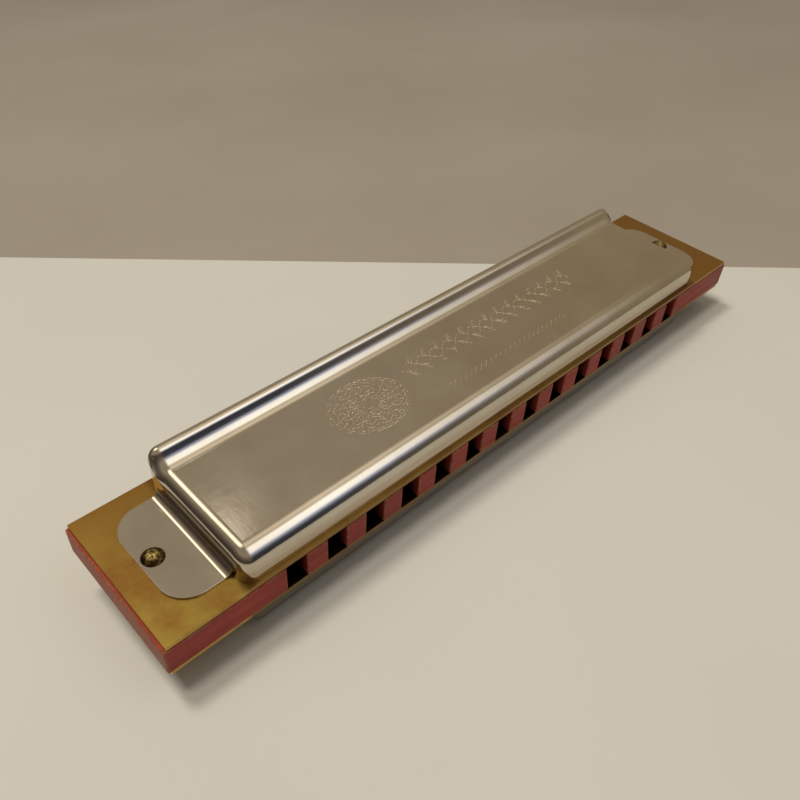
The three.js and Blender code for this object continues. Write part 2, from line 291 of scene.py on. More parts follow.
def brass(name, bright, dull, brown):
    """Rolled brass, browner to the back and far end, with painted shade under and beside the covers and on
    the faces inside the chambers.
    """
    material, tree, shader, place = finish_of(name)
    shader.inputs["Metallic"].default_value = 1.0
    drift = cloud(tree, place, 55, 5, 0.6)
    rolled = cloud(tree, scaled(tree, place, 40, 2600, 2600), 1.0, 3)
    spots = cloud(tree, place, 900, 4, 0.7)
    colour = graded(tree, drift, [(0.36, brown), (0.48, dull), (0.66, bright)])
    colour = mixed(tree, graded(tree, spots, [(0.60, 0.0), (0.72, 0.55)]), colour, brown)
    colour = mixed(tree, graded(tree, rolled, [(0.35, 0.22), (0.65, 0.0)]), colour, dull)
    towards_back = between(tree, axis_of(tree, place, "Y"), -4 * MM, 16 * MM, 0.0, 0.75)
    far_end = between(tree, axis_of(tree, place, "X"), 30 * MM, 75 * MM, 0.0, 0.85)
    brown_share = reckoned(tree, "MAXIMUM", towards_back, far_end)
    colour = mixed(tree, brown_share, colour, brown)
    along = reckoned(tree, "ABSOLUTE", axis_of(tree, place, "X"))
    off_middle = reckoned(tree, "SUBTRACT", axis_of(tree, place, "Z"), mid_height)
    off_middle = reckoned(tree, "ABSOLUTE", off_middle)
    # Under and just beside the covers the brass is painted dark brown: painted shade.
    cover_shade = between(tree, along, COVER_SHADE_FROM, COVER_SHADE_FULL, 0.0, 0.72)
    colour = mixed(tree, cover_shade, colour, (0.17, 0.085, 0.03))
    # The faces towards the comb, seen only down the chambers, are painted near-black: painted shade.
    chamber_face_shade = reckoned(tree, "LESS_THAN", off_middle, comb_high.z - mid_height + 0.1 * MM)
    colour = mixed(tree, chamber_face_shade, colour, (0.045, 0.028, 0.012))
    tree.links.new(colour, shader.inputs["Base Color"])
    tree.links.new(between(tree, drift, 0.3, 0.7, 0.44, 0.28), shader.inputs["Roughness"])
    scratches = cloud(tree, scaled(tree, place, 300, 4200, 2000), 1.0, 2)
    marks = reckoned(tree, "ADD", rolled, reckoned(tree, "MULTIPLY", scratches, 0.6))
    relief(tree, shader, marks, SCRATCH_DEPTH)
    return material


plate_brass = brass("plate brass", (0.62, 0.43, 0.10), (0.46, 0.32, 0.075), (0.36, 0.18, 0.045))


def slot_ends(kind, number):
    """The near and far edge of the slot that a reed swings through."""
    low, high = reed_box(kind, number)
    if kind == "blow":
        return low.y - SLOT_END_ROOM, high.y - 2 * PAD_HALF - SLOT_PAD_ROOM
    return low.y + 2 * PAD_HALF + SLOT_PAD_ROOM, high.y + SLOT_END_ROOM


def pierced_sheet(xs, ys, is_open, low, high):
    """A flat sheet between two heights, on a lattice of cells, some of them open."""
    sheet = bmesh.new()
    corners = {}

    def corner(i, j, z):
        if (i, j, z) not in corners:
            corners[i, j, z] = sheet.verts.new((xs[i], ys[j], z))
        return corners[i, j, z]

    def solid(i, j):
        inside = 0 <= i < len(xs) - 1 and 0 <= j < len(ys) - 1
        return inside and not is_open((xs[i] + xs[i + 1]) / 2, (ys[j] + ys[j + 1]) / 2)

    for i in range(len(xs) - 1):
        for j in range(len(ys) - 1):
            if not solid(i, j):
                continue
            for z in (low, high):
                cell = ((i, j), (i + 1, j), (i + 1, j + 1), (i, j + 1))
                sheet.faces.new([corner(a, b, z) for a, b in cell])
            sides = {
                (i, j - 1): ((i, j), (i + 1, j)),
                (i, j + 1): ((i, j + 1), (i + 1, j + 1)),
                (i - 1, j): ((i, j), (i, j + 1)),
                (i + 1, j): ((i + 1, j), (i + 1, j + 1)),
            }
            for neighbour, (a, b) in sides.items():
                if not solid(*neighbour):
                    sheet.faces.new((corner(*a, low), corner(*b, low), corner(*b, high), corner(*a, high)))
    bmesh.ops.recalc_face_normals(sheet, faces=sheet.faces)
    mesh = bpy.data.meshes.new("sheet")
    sheet.to_mesh(mesh)
    sheet.free()
    return mesh


def reed_plate(name, node, kind, low):
    half = comb_high.x - PLATE_END_INSET
    slots = [(hole_x(n), *slot_ends(kind, n)) for n in hole_numbers]
    xs = [-half, half]
    ys = [comb_low.y + PLATE_EDGE_INSET, comb_high.y - PLATE_EDGE_INSET]
    for x, near, far in slots:
        xs += [x - SLOT_HALF_WIDTH, x + SLOT_HALF_WIDTH]
        ys += [near, far]
    xs = sorted(set(round(x, 6) for x in xs))
    ys = sorted(set(round(y, 6) for y in ys))

    def is_open(x, y):
        return any(abs(x - sx) < SLOT_HALF_WIDTH and near < y < far for sx, near, far in slots)

    mesh = pierced_sheet(xs, ys, is_open, low, low + PLATE_THICKNESS)
    plate = new_piece(name, mesh, [plate_brass])
    rounded(plate, PLATE_EDGE)
    belongs(plate, "reed_plates", node)


reed_plate("upper_plate_sheet", "upper_reed_plate", "blow", comb_high.z)
reed_plate("lower_plate_sheet", "lower_reed_plate", "draw", comb_low.z - PLATE_THICKNESS)


# ------------------------------------------------------------------------------ rivets
# One small brass rivet clamps each reed's pad under its plate: a flat-topped head on the reed's
# side, and a clinched tail on the other. The same rivet is set out twenty-eight times.

RIVET_SIDES = 20
CREASE = math.radians(40)

rivet_profile = [
    (0.0, 1.15), (0.75, 1.15), (0.95, 1.08), (1.0, 0.97), (1.0, 0.70), (0.70, 0.70),
    (0.70, -0.60), (1.15, -0.60), (1.12, -0.74), (0.92, -0.92), (0.6, -0.95), (0.0, -0.95),
]


def turned(name, profile, sides):
    """A closed shape of revolution about Z from (radius, height) pairs in millimetres."""
    lathe = bmesh.new()
    rings = []
    for radius, height in profile:
        if radius == 0.0:
            rings.append([lathe.verts.new((0.0, 0.0, height * MM))])
            continue
        ring = []
        for step in range(sides):
            angle = 2 * math.pi * step / sides
            place = (radius * MM * math.cos(angle), radius * MM * math.sin(angle), height * MM)
            ring.append(lathe.verts.new(place))
        rings.append(ring)
    for upper, lower in zip(rings, rings[1:]):
        for step in range(sides):
            after = (step + 1) % sides
            if len(upper) == 1:
                lathe.faces.new((upper[0], lower[step], lower[after]))
            elif len(lower) == 1:
                lathe.faces.new((upper[step], lower[0], upper[after]))
            else:
                lathe.faces.new((upper[step], lower[step], lower[after], upper[after]))
    bmesh.ops.recalc_face_normals(lathe, faces=lathe.faces)
    mesh = bpy.data.meshes.new(name)
    lathe.to_mesh(mesh)
    lathe.free()
    pattern = bpy.data.objects.new(name, mesh)
    bpy.context.scene.collection.objects.link(pattern)
    return pattern


def setting_out_tree():
    """Puts a copy of the pattern on every point, each turned a little by chance."""
    tree = bpy.data.node_groups.new("set out on points", "GeometryNodeTree")
    face = tree.interface
    face.new_socket(name="Points", in_out="INPUT", socket_type="NodeSocketGeometry")
    face.new_socket(name="Pattern", in_out="INPUT", socket_type="NodeSocketObject")
    face.new_socket(name="Finish", in_out="INPUT", socket_type="NodeSocketMaterial")
    face.new_socket(name="Size spread", in_out="INPUT", socket_type="NodeSocketFloat")
    face.new_socket(name="Seed", in_out="INPUT", socket_type="NodeSocketInt")
    face.new_socket(name="Pieces", in_out="OUTPUT", socket_type="NodeSocketGeometry")
    nodes = tree.nodes
    links = tree.links
    given = nodes.new("NodeGroupInput")
    out = nodes.new("NodeGroupOutput")
    points = nodes.new("GeometryNodeMeshToPoints")
    pattern = nodes.new("GeometryNodeObjectInfo")
    turn = nodes.new("FunctionNodeRandomValue")
    turn.data_type = "FLOAT_VECTOR"
    turn.inputs["Min"].default_value = (0.0, 0.0, -math.pi)
    turn.inputs["Max"].default_value = (0.0, 0.0, math.pi)
    smallest = nodes.new("ShaderNodeMath")
    smallest.operation = "SUBTRACT"
    smallest.inputs[0].default_value = 1.0
    size = nodes.new("FunctionNodeRandomValue")
    size.data_type = "FLOAT"
    size.inputs[3].default_value = 1.0
    copies = nodes.new("GeometryNodeInstanceOnPoints")
    real = nodes.new("GeometryNodeRealizeInstances")
    coat = nodes.new("GeometryNodeSetMaterial")
    links.new(given.outputs["Points"], points.inputs["Mesh"])
    links.new(given.outputs["Pattern"], pattern.inputs["Object"])
    links.new(given.outputs["Seed"], turn.inputs["Seed"])
    links.new(given.outputs["Seed"], size.inputs["Seed"])
    links.new(given.outputs["Size spread"], smallest.inputs[1])
    links.new(smallest.outputs[0], size.inputs[2])
    links.new(points.outputs["Points"], copies.inputs["Points"])
    links.new(pattern.outputs["Geometry"], copies.inputs["Instance"])
    links.new(turn.outputs["Value"], copies.inputs["Rotation"])
    links.new(size.outputs[1], copies.inputs["Scale"])
    links.new(copies.outputs["Instances"], real.inputs["Geometry"])
    links.new(real.outputs["Geometry"], coat.inputs["Geometry"])
    links.new(given.outputs["Finish"], coat.inputs["Material"])
    links.new(coat.outputs["Geometry"], out.inputs["Pieces"])
    return tree


def with_tree(piece, tree, **values):
    modifier = piece.modifiers.new(tree.name, "NODES")
    modifier.node_group = tree
    for item in tree.interface.items_tree:
        key = item.name.lower().replace(" ", "_")
        if item.in_out == "INPUT" and key in values:
            modifier[item.identifier] = values[key]
    return settled(piece)


setting_out = setting_out_tree()


def set_out(name, spots, pattern, finish, seed, size_spread=0.0):
    mesh = bpy.data.meshes.new(name)
    mesh.from_pydata([tuple(spot) for spot in spots], [], [])
    piece = new_piece(name, mesh)
    with_tree(piece, setting_out, pattern=pattern, finish=finish, size_spread=size_spread, seed=seed)
    for face in piece.data.polygons:
        face.use_smooth = True
    piece.data.set_sharp_from_angle(angle=CREASE)
    return piece


def turned_over(piece):
    """Half a turn about the crosswise axis through the comb's middle, as the lower side lies."""
    centre = Matrix.Translation((0, 0, mid_height))
    piece.data.transform(centre @ Matrix.Rotation(math.pi, 4, "Y") @ centre.inverted())
    return piece


rivet_brass = brass("rivet brass", (0.86, 0.66, 0.26), (0.66, 0.47, 0.16), (0.45, 0.27, 0.09))
rivet = turned("rivet", rivet_profile, RIVET_SIDES)
for kind, side, low in (("blow", "upper", comb_high.z), ("draw", "lower", comb_low.z - PLATE_THICKNESS)):
    spots = []
    for number in hole_numbers:
        reed_low, reed_high = reed_box(kind, number)
        y = reed_high.y - PAD_HALF if kind == "blow" else reed_low.y + PAD_HALF
        spots.append((hole_x(number), y, low))
    rivets = set_out(f"{side}_plate_rivets", spots, rivet, rivet_brass, seed=3)
    belongs(rivets, "reed_plates")
bpy.data.objects.remove(rivet)


# ------------------------------------------------------------------------------ reeds
# Twenty-eight springy brass strips, each free to swing from its own rivet. Tuning files have
# left them brighter than the plates, with fine marks across the tongue.

reed_material, tree, shader, place = finish_of("reed brass")
shader.inputs["Metallic"].default_value = 1.0
filed = cloud(tree, scaled(tree, place, 900, 9000, 900), 1.0, 2)
tone = cloud(tree, place, 260, 4)
colour = graded(tree, tone, [(0.3, (0.62, 0.43, 0.16)), (0.7, (0.86, 0.68, 0.33))])
tree.links.new(colour, shader.inputs["Base Color"])
tree.links.new(between(tree, filed, 0.3, 0.7, 0.24, 0.40), shader.inputs["Roughness"])
relief(tree, shader, filed, 0.00002)
for kind in ("blow", "draw"):
    for number in hole_numbers:
        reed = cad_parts[f"{kind}_reed_{number:02d}"]
        for material_slot in reed.material_slots:
            material_slot.material = reed_material


# ------------------------------------------------------------------------------ plate nails
# Ten small round-headed brass nails hold each plate: a row through the tines in front and a row
# through the comb's back. They are driven by hand, and their heads are tarnished.

NAIL_SIDES = 24

plate_nail_profile = [
    (0.0, 0.45), (0.35, 0.43), (0.70, 0.34), (0.95, 0.20), (1.08, 0.06), (1.10, 0.0),
    (0.50, 0.0), (0.50, -2.7), (0.0, -3.5),
]
nail_brass = brass("nail brass", (0.60, 0.44, 0.16), (0.40, 0.27, 0.09), (0.22, 0.12, 0.04))
plate_nail = turned("plate nail", plate_nail_profile, NAIL_SIDES)
plate_face = comb_high.z + PLATE_THICKNESS


def nail_spots(names, height):
    spots = []
    for name in names:
        low, high = [Vector(corner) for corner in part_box(name)]
        spots.append(((low.x + high.x) / 2, (low.y + high.y) / 2, height))
    return spots


for side in ("upper", "lower"):
    names = [f"{side}_plate_nail_{number:02d}" for number in range(1, 11)]
    spots = nail_spots(names, plate_face)
    if side == "lower":
        spots = [(-x, y, z) for x, y, z in spots]
    nails = set_out(f"{side}_plate_nails", spots, plate_nail, nail_brass, seed=11)
    if side == "lower":
        turned_over(nails)
    belongs(nails, "plate_nails", *names)
bpy.data.objects.remove(plate_nail)


# ------------------------------------------------------------------------------ covers
# Each cover is one piece of thin steel, drawn to shape and nickel-plated: rounded front edge,
# flat panel, a step up to a rounded rim along the open back, and a tab turned out at each end.

SHEET = 0.45 * MM
COVER_FRONT = comb_low.y + 0.9 * MM
COVER_BACK = comb_high.y - 1.1 * MM
COVER_HALF = comb_high.x - 16.5 * MM
PANEL_HEIGHT = 6.5 * MM
FRONT_RADIUS = 3.9 * MM
STEP_RADIUS = 3.8 * MM
RIM_RADIUS = 1.45 * MM
STEP_STRAIGHT = 0.4 * MM
STEP_ANGLE = math.radians(57)
END_RADIUS = 2.8 * MM
RIM_GIVE = 1.15 * MM
LIP_HEIGHT = 5.6 * MM
HEM_DEPTH = 1.8 * MM
CORNER_RETURN = 3.0 * MM
TAB_HALF_WIDTH = 11.8 * MM
TAB_END = comb_high.x - 5.6 * MM
TAB_CORNER = 5.8 * MM
FOLD_RADIUS = 1.8 * MM
NAIL_HOLE = 0.9 * MM
NAIL_X = comb_high.x - 8.2 * MM
SHEET_EDGE = 0.08 * MM
POLISH_DEPTH = 0.0035 * MM

TAB_Y = (COVER_FRONT + COVER_BACK) / 2
CREST_Y = COVER_BACK - RIM_RADIUS
STEP_REACH = STEP_RADIUS + RIM_RADIUS
STEP_Y = CREST_Y - STEP_REACH * math.sin(STEP_ANGLE) - STEP_STRAIGHT * math.cos(STEP_ANGLE)
RIM_HEIGHT = (PANEL_HEIGHT + STEP_REACH * (1 - math.cos(STEP_ANGLE))
              + STEP_STRAIGHT * math.sin(STEP_ANGLE))
HEM_TOP = LIP_HEIGHT + SHEET
FOLD_TOP = SHEET + FOLD_RADIUS
FLAT_MARGIN = 0.3 * MM


def arc(across, up, radius, start, end, steps):
    """Points along an arc about (across, up); start and end are in degrees."""
    points = []
    for step in range(steps + 1):
        angle = math.radians(start + (end - start) * step / steps)
        points.append((across + radius * math.cos(angle), up + radius * math.sin(angle)))
    return points


def cover_section(inset):
    """The (y, z) section from the front foot over the rim to the back foot, drawn in by inset.
    Past RIM_GIVE the rim keeps its radius and sinks whole, with the step in front of it."""
    sink = max(0.0, inset - RIM_GIVE)
    rim_inset = inset - sink
    front = COVER_FRONT + inset
    back = COVER_BACK - inset
    top = PANEL_HEIGHT - inset
    flat_start = COVER_FRONT + FRONT_RADIUS
    front_centre = PANEL_HEIGHT - FRONT_RADIUS
    rise = math.degrees(STEP_ANGLE)
    rim_centre = RIM_HEIGHT - RIM_RADIUS
    points = [(front, z * MM) for z in (0.0, 0.4, 1.0, 1.7, 2.3)]
    points += arc(flat_start, front_centre, FRONT_RADIUS - inset, 180, 90, 22)
    step_y = STEP_Y - sink
    flat = step_y - flat_start
    points += [(flat_start + FLAT_MARGIN, top)]
    for share in (0.1, 0.2, 0.3, 0.4, 0.5, 0.6, 0.7, 0.8, 0.9):
        points.append((flat_start + flat * share, top))
    points += [(step_y - FLAT_MARGIN, top)]
    points += arc(step_y, PANEL_HEIGHT + STEP_RADIUS - sink, STEP_RADIUS + rim_inset, -90, rise - 90, 14)
    points += arc(CREST_Y - sink, rim_centre - sink, RIM_RADIUS - rim_inset, 90 + rise, 0, 30)
    wall_top = rim_centre - sink
    points += [(back, HEM_TOP + (wall_top - HEM_TOP) * share) for share in (0.7, 0.35)]
    points += [(back, HEM_TOP), (back, LIP_HEIGHT)]
    points += [(back, z * MM) for z in (5.0, 3.4, 1.8, 0.5, 0.0)]
    return points


END_STEPS = 9
SPANS = 44
FOLD_STEPS = 8
TAB_CORNER_STEPS = 10


def cover_stations(base_inset):
    """(x, inset) pairs from one end wall to the other; the ends roll over a small radius."""
    turn_x = COVER_HALF - END_RADIUS
    radius = END_RADIUS - base_inset
    inside = COVER_HALF - CORNER_RETURN
    rolled = []
    for step in range(END_STEPS + 1):
        angle = math.pi / 2 * step / END_STEPS
        rolled.append((turn_x + radius * math.sin(angle), base_inset + radius * (1 - math.cos(angle))))
    middle = [-inside]
    for span in range(1, SPANS):
        middle.append(-inside + 2 * inside * span / SPANS)
    middle += [inside]
    left = [(-x, inset) for x, inset in reversed(rolled)]
    return left + [(x, base_inset) for x in middle] + rolled


def hand_worn(x, y, z):
    """Years of handling leave the sheet a few hundredths off true, always inwards."""
    wave = noise.noise(Vector((x * 42, y * 60, z * 60 + 3.7)))
    ripple = noise.noise(Vector((x * 150, y * 150, z * 150 + 9.1)))
    above_foot = min(1.0, max(0.0, (z - 3.0 * MM) / (2.5 * MM)))
    from_end = min(1.0, max(0.0, (COVER_HALF - END_RADIUS - abs(x)) / (6.0 * MM)))
    return above_foot * from_end * MM * (0.03 * (1 + wave) + 0.006 * (1 + ripple))


def cover_mesh(name):
    shell = bmesh.new()
    rows = cover_section(0.0)
    lip = rows.index((COVER_BACK, LIP_HEIGHT))
    hem = rows.index((COVER_BACK, HEM_TOP))
    last = len(rows) - 1
    inside = COVER_HALF - CORNER_RETURN + 1e-6
    skins = []
    for base in (0.0, SHEET):
        skin = []
        for x, inset in cover_stations(base):
            line = []
            for y, z in cover_section(inset):
                line.append(shell.verts.new((x, y, plate_face + z - hand_worn(x, y, z))))
            skin.append(line)
        skins.append(skin)
    outer, inner = skins
    count = len(outer)
    xs = [station[0] for station in cover_stations(0.0)]

    def face(*corners):
        shell.faces.new(corners)

    def in_opening(i):
        return abs(xs[i]) < inside and abs(xs[i + 1]) < inside

    for i in range(count - 1):
        for j in range(last):
            if not (in_opening(i) and j >= lip):
                face(outer[i][j], outer[i + 1][j], outer[i + 1][j + 1], outer[i][j + 1])
            if not (in_opening(i) and j >= hem):
                face(inner[i][j], inner[i][j + 1], inner[i + 1][j + 1], inner[i + 1][j])
        face(outer[i][0], inner[i][0], inner[i + 1][0], outer[i + 1][0])
        if in_opening(i):
            face(outer[i][lip], outer[i + 1][lip], inner[i + 1][lip], inner[i][lip])
        else:
            face(outer[i][last], outer[i + 1][last], inner[i + 1][last], inner[i][last])

    # The opening's upper edge is turned in as a narrow hem.
    hem_edges = {}
    for i in range(count):
        if abs(xs[i]) < inside:
            drop = inner[i][lip].co.z - (plate_face + LIP_HEIGHT)
            front_y = COVER_BACK - HEM_DEPTH
            low = shell.verts.new((xs[i], front_y, plate_face + LIP_HEIGHT + drop))
            high = shell.verts.new((xs[i], front_y, plate_face + HEM_TOP + drop))
            hem_edges[i] = (low, high)
    for i in range(count - 1):
        if in_opening(i):
            low, high = hem_edges[i]
            low_next, high_next = hem_edges[i + 1]
            face(inner[i][lip], inner[i + 1][lip], low_next, low)
            face(low, low_next, high_next, high)
            face(high, high_next, inner[i + 1][hem], inner[i][hem])
    for i in (min(hem_edges), max(hem_edges)):
        low, high = hem_edges[i]
        face(inner[i][lip], low, high, inner[i][hem])
        for j in range(lip, last):
            face(outer[i][j], outer[i][j + 1], inner[i][j + 1], inner[i][j])

    # End walls, each with the fold at its foot and the tab beyond.
    tab_front = TAB_Y - TAB_HALF_WIDTH
    tab_back = TAB_Y + TAB_HALF_WIDTH
    crossings = [tab_front + (tab_back - tab_front) * k / 12 for k in range(13)]
    for end, sign in ((0, -1), (count - 1, 1)):
        def line_at(x, z):
            return [shell.verts.new((sign * x, y, plate_face + z)) for y in crossings]

        edges = {}
        for side, skin, x in (("out", outer, COVER_HALF), ("in", inner, COVER_HALF - SHEET)):
            top_edge = line_at(x, FOLD_TOP)
            foot_front = shell.verts.new((sign * x, tab_front, plate_face))
            foot_back = shell.verts.new((sign * x, tab_back, plate_face))
            ring = list(skin[end]) + [foot_back] + top_edge[::-1] + [foot_front]
            shell.faces.new(ring)
            edges[side] = (top_edge, foot_front, foot_back)
        out_edge, out_front, out_back = edges["out"]
        in_edge, in_front, in_back = edges["in"]
        face(outer[end][0], out_front, in_front, inner[end][0])
        face(out_front, out_edge[0], in_edge[0], in_front)
        face(out_edge[-1], out_back, in_back, in_edge[-1])
        face(out_back, outer[end][last], inner[end][last], in_back)
        fold_centre = COVER_HALF + FOLD_RADIUS
        for step in range(1, FOLD_STEPS + 1):
            angle = math.pi + math.pi / 2 * step / FOLD_STEPS
            next_lines = []
            for radius in (FOLD_RADIUS, FOLD_RADIUS + SHEET):
                x = fold_centre + radius * math.cos(angle)
                z = FOLD_TOP + radius * math.sin(angle)
                next_lines.append(line_at(x, z))
            out_next, in_next = next_lines
            for k in range(len(crossings) - 1):
                face(out_edge[k], out_edge[k + 1], out_next[k + 1], out_next[k])
                face(in_edge[k], in_next[k], in_next[k + 1], in_edge[k + 1])
            face(out_edge[0], out_next[0], in_next[0], in_edge[0])
            face(out_edge[-1], in_edge[-1], in_next[-1], out_next[-1])
            out_edge, in_edge = out_next, in_next

        corner_x = TAB_END - TAB_CORNER
        outline = arc(corner_x, tab_front + TAB_CORNER, TAB_CORNER, -90, 0, TAB_CORNER_STEPS)
        outline += [(TAB_END, TAB_Y + (k - 2) * 2.2 * MM) for k in range(5)]
        outline += arc(corner_x, tab_back - TAB_CORNER, TAB_CORNER, 0, 90, TAB_CORNER_STEPS)
        loops = {}
        for level, fold_line in ((SHEET, out_edge), (0.0, in_edge)):
            rim = [shell.verts.new((sign * x, y, plate_face + level)) for x, y in outline]
            rim += fold_line[::-1]
            hole = []
            nail_x = sign * NAIL_X
            level_z = plate_face + level
            for vertex in rim:
                away = Vector((vertex.co.x - nail_x, vertex.co.y - TAB_Y, 0)).normalized() * NAIL_HOLE
                hole.append(shell.verts.new((nail_x + away.x, TAB_Y + away.y, level_z)))
            loops[level] = (rim, hole)
            for k in range(len(rim)):
                after = (k + 1) % len(rim)
                face(rim[k], rim[after], hole[after], hole[k])
        (top_rim, top_hole), (low_rim, low_hole) = loops[SHEET], loops[0.0]
        for k in range(len(outline) + 1):
            face(top_rim[k - 1], top_rim[k], low_rim[k], low_rim[k - 1])
        for k in range(len(top_hole)):
            after = (k + 1) % len(top_hole)
            face(top_hole[k], top_hole[after], low_hole[after], low_hole[k])

    bmesh.ops.recalc_face_normals(shell, faces=shell.faces)
    open_edges = [edge for edge in shell.edges if len(edge.link_faces) != 2]
    if open_edges:
        raise RuntimeError(f"{name} has {len(open_edges)} open edges")
    mesh = bpy.data.meshes.new(name)
    shell.to_mesh(mesh)
    shell.free()
    return mesh


nickel, tree, shader, place = finish_of("nickel plate")
shader.inputs["Metallic"].default_value = 1.0
smear = cloud(tree, place, 60, 5, 0.6)
pits = cloud(tree, place, 2400, 3, 0.6)
colour = graded(tree, smear, [(0.3, (0.60, 0.545, 0.455)), (0.7, (0.69, 0.645, 0.565))])
colour = mixed(tree, graded(tree, pits, [(0.62, 0.0), (0.75, 0.35)]), colour, (0.42, 0.34, 0.24))
off_middle = reckoned(tree, "SUBTRACT", axis_of(tree, place, "Z"), mid_height)
off_middle = reckoned(tree, "ABSOLUTE", off_middle)
above_plate = reckoned(tree, "SUBTRACT", off_middle, plate_face - mid_height)
# The lowest few millimetres of the front walls are painted tan, streaked along: partly tarnish, partly a
# painted reflection of the board in front.
streaks = cloud(tree, scaled(tree, place, 25, 900, 900), 1.0, 4)
brown_share = between(tree, above_plate, 4.4 * MM, 2.4 * MM, 0.0, 0.85)
brown_share = reckoned(tree, "MULTIPLY", brown_share, graded(tree, streaks, [(0.3, 1.0), (0.62, 0.55)]))
in_front = between(tree, axis_of(tree, place, "Y"), COVER_FRONT + 1.2 * MM, COVER_FRONT + 0.4 * MM)
colour = mixed(tree, reckoned(tree, "MULTIPLY", brown_share, in_front), colour, (0.34, 0.245, 0.135))
# The lower cover's front wall is painted dark: painted shade, standing for the shadowed board it mirrors.
lower_front_shade = between(tree, axis_of(tree, place, "Z"), mid_height, mid_height - 1.0 * MM, 0.0, 0.62)
colour = mixed(tree, reckoned(tree, "MULTIPLY", lower_front_shade, in_front), colour, (0.10, 0.085, 0.065))
tree.links.new(colour, shader.inputs["Base Color"])
tree.links.new(between(tree, smear, 0.3, 0.7, 0.11, 0.16), shader.inputs["Roughness"])
long_scratches = cloud(tree, scaled(tree, place, 250, 5200, 5200), 1.0, 2)
cross_scratches = cloud(tree, scaled(tree, place, 4600, 420, 4600), 1.0, 2)
orange_peel = cloud(tree, place, 700, 2)
height = reckoned(tree, "ADD", long_scratches, cross_scratches)
height = reckoned(tree, "ADD", height, reckoned(tree, "MULTIPLY", orange_peel, 2.0))
relief(tree, shader, height, POLISH_DEPTH)

for side in ("upper", "lower"):
    name = f"{side}_cover_shell"
    cover = new_piece(name, cover_mesh(name), [nickel])
    rounded(cover, SHEET_EDGE)
    if side == "lower":
        turned_over(cover)
    belongs(cover, "covers", f"{side}_cover")


# ------------------------------------------------------------------------------ engraving
# The upper cover's panel is engraved by hand-like machine cuts: an oval rosette, a running leaf
# band and a beaded line below it. Each line is a row of short bright cuts, thin as a hair.

CUT_LIFT = 0.06 * MM

# Places and sizes of the drawing are in millimetres on the panel.
ROSETTE_X = -29.8
ROSETTE_Y = -0.4
ROSETTE_HALF_X = 9.2
ROSETTE_HALF_Y = 7.3
SPOKES = 24
BAND_START = -17.5
BAND_LENGTH = 56.0
BAND_Y = 2.4
WAVE_LENGTH = 8.0
WAVE_HEIGHT = 1.5
WAVE_STEPS = 280
LEAVES = 28
BEADS = 48
BEAD_PITCH = 0.8
BEAD_SWAY = 0.35


def cutting_tree():
    """Lays short cuts along every line of a drawing, some skipped and none quite alike."""
    tree = bpy.data.node_groups.new("cuts along lines", "GeometryNodeTree")
    face = tree.interface
    face.new_socket(name="Lines", in_out="INPUT", socket_type="NodeSocketGeometry")
    face.new_socket(name="Cut", in_out="INPUT", socket_type="NodeSocketObject")
    face.new_socket(name="Finish", in_out="INPUT", socket_type="NodeSocketMaterial")
    face.new_socket(name="Pitch", in_out="INPUT", socket_type="NodeSocketFloat")
    face.new_socket(name="Share kept", in_out="INPUT", socket_type="NodeSocketFloat")
    face.new_socket(name="Seed", in_out="INPUT", socket_type="NodeSocketInt")
    face.new_socket(name="Cuts", in_out="OUTPUT", socket_type="NodeSocketGeometry")
    nodes = tree.nodes
    links = tree.links
    given = nodes.new("NodeGroupInput")
    out = nodes.new("NodeGroupOutput")
    curve = nodes.new("GeometryNodeMeshToCurve")
    spaced = nodes.new("GeometryNodeResampleCurve")
    spaced.mode = "LENGTH"
    points = nodes.new("GeometryNodeCurveToPoints")
    points.mode = "EVALUATED"
    kept = nodes.new("FunctionNodeRandomValue")
    kept.data_type = "BOOLEAN"
    pattern = nodes.new("GeometryNodeObjectInfo")
    lean = nodes.new("FunctionNodeAlignEulerToVector")
    lean.axis = "X"
    tangent = nodes.new("GeometryNodeInputTangent")
    held = nodes.new("GeometryNodeCaptureAttribute")
    held.capture_items.new("VECTOR", "Tangent")
    size = nodes.new("FunctionNodeRandomValue")
    size.data_type = "FLOAT_VECTOR"
    size.inputs["Min"].default_value = (0.55, 0.6, 0.7)
    size.inputs["Max"].default_value = (1.25, 1.3, 1.0)
    copies = nodes.new("GeometryNodeInstanceOnPoints")
    real = nodes.new("GeometryNodeRealizeInstances")
    coat = nodes.new("GeometryNodeSetMaterial")
    links.new(given.outputs["Lines"], curve.inputs["Mesh"])
    links.new(curve.outputs["Curve"], spaced.inputs["Curve"])
    links.new(given.outputs["Pitch"], spaced.inputs["Length"])
    links.new(spaced.outputs["Curve"], held.inputs["Geometry"])
    links.new(tangent.outputs["Tangent"], held.inputs["Tangent"])
    links.new(held.outputs["Geometry"], points.inputs["Curve"])
    links.new(held.outputs["Tangent"], lean.inputs["Vector"])
    links.new(points.outputs["Points"], copies.inputs["Points"])
    links.new(given.outputs["Share kept"], kept.inputs["Probability"])
    links.new(given.outputs["Seed"], kept.inputs["Seed"])
    links.new(kept.outputs[3], copies.inputs["Selection"])
    links.new(given.outputs["Cut"], pattern.inputs["Object"])
    links.new(pattern.outputs["Geometry"], copies.inputs["Instance"])
    links.new(lean.outputs["Rotation"], copies.inputs["Rotation"])
    links.new(given.outputs["Seed"], size.inputs["Seed"])
    links.new(size.outputs[0], copies.inputs["Scale"])
    links.new(copies.outputs["Instances"], real.inputs["Geometry"])
    links.new(real.outputs["Geometry"], coat.inputs["Geometry"])
    links.new(given.outputs["Finish"], coat.inputs["Material"])
    links.new(coat.outputs["Geometry"], out.inputs["Cuts"])
    return tree


def drawing(name, lines):
    """A mesh of bare polylines on the panel from lists of (x, y) in millimetres."""
    corners = []
    edges = []
    for line in lines:
        start = len(corners)
        for x, y in line:
            sunk = hand_worn(x * MM, y * MM, PANEL_HEIGHT)
            corners.append((x * MM, y * MM, plate_face + PANEL_HEIGHT - sunk))
        edges += [(k, k + 1) for k in range(start, len(corners) - 1)]
    mesh = bpy.data.meshes.new(name)
    mesh.from_pydata(corners, edges, [])
    return mesh


